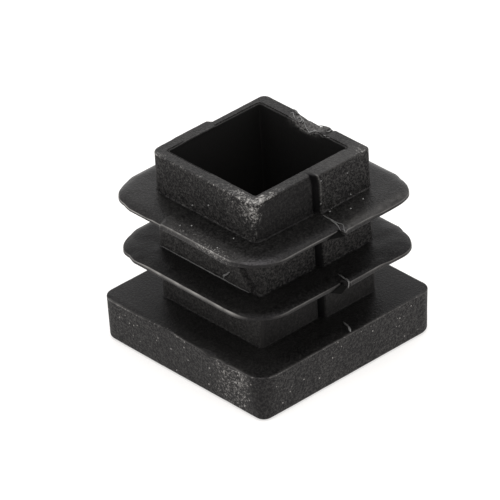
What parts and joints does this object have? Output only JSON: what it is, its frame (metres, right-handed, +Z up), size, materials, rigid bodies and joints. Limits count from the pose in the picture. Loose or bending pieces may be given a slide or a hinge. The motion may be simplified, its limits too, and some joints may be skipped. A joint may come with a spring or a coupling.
{
  "type": "square tube end cap",
  "caption": "Black moulded insert that closes the end of a square tube: a square head plate and a hollow square plug with thin flexible fins that grip the tube's inside.",
  "frame": {"origin": "middle of the head's outer face, which is the face that the cap stands on", "axes": "+Z up along the plug, from the head to the open rim; X and Y square to the head's sides; the mould's parting plane is square to Y"},
  "size_m": [0.02, 0.02, 0.0182],
  "materials": {
    "black_plastic": "satin"
  },
  "bodies": {
    "root": {"end_cap": "black_plastic"}
  },
  "joints": []
}
